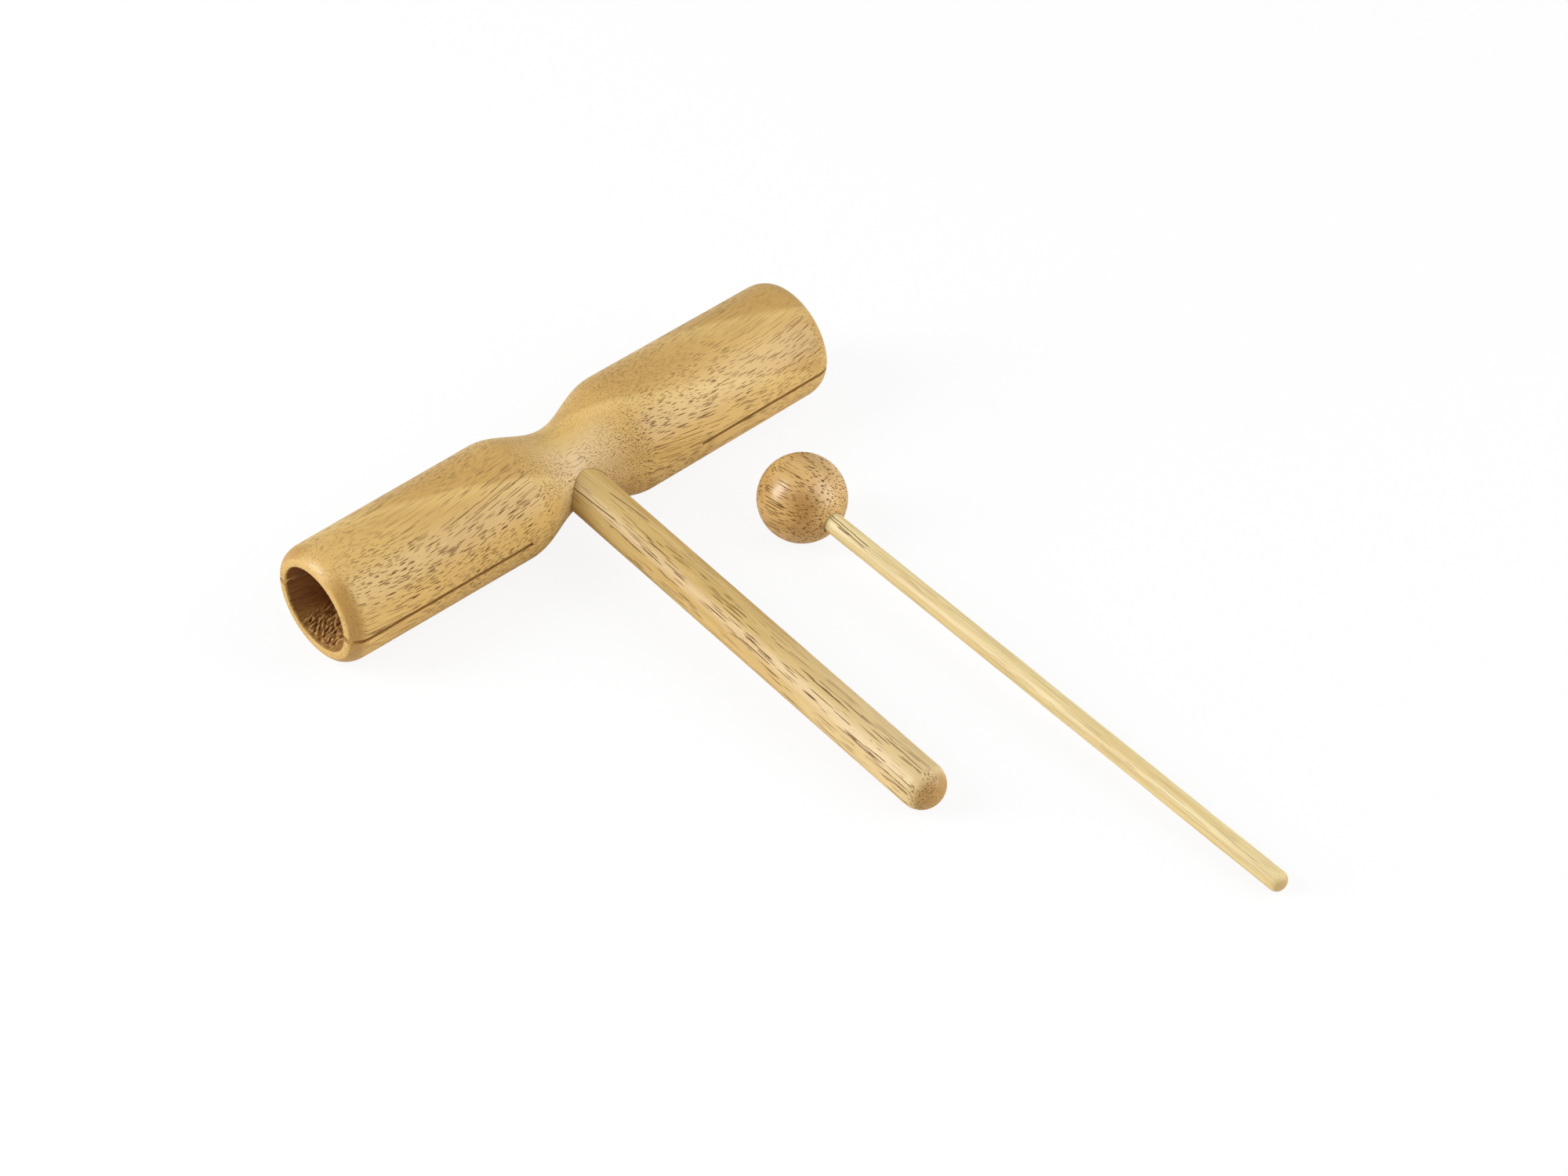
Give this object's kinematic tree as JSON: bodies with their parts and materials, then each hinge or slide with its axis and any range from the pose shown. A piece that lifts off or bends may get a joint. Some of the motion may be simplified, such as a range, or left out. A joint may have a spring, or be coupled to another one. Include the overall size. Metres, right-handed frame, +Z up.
{
  "type": "tone block",
  "caption": "Hand-held turned wooden tone block: hourglass body with a bored and slit chamber at each end, on a dowel handle, with its loose ball-headed beater.",
  "frame": {"origin": "on the table, under the middle of the box round the block and its beater", "axes": "+Z up, X along the body's turning axis with the high tone's chamber at +X, -Y the way the handle and the beater's stick point"},
  "size_m": [0.202, 0.297, 0.042],
  "materials": {
    "body_wood": "satin clear lacquer",
    "handle_wood": "satin clear lacquer",
    "head_wood": "satin clear lacquer",
    "stick_wood": "thin clear lacquer"
  },
  "bodies": {
    "tone_block": {"block_body": "body_wood", "handle": "handle_wood"},
    "beater": {"beater_head": "head_wood", "beater_stick": "stick_wood"}
  },
  "joints": [
    {"name": "beater_lift", "type": "slide", "parent": "tone_block", "child": "beater", "axis": [0, 0, 1], "range_m": [0, 0.1]}
  ]
}
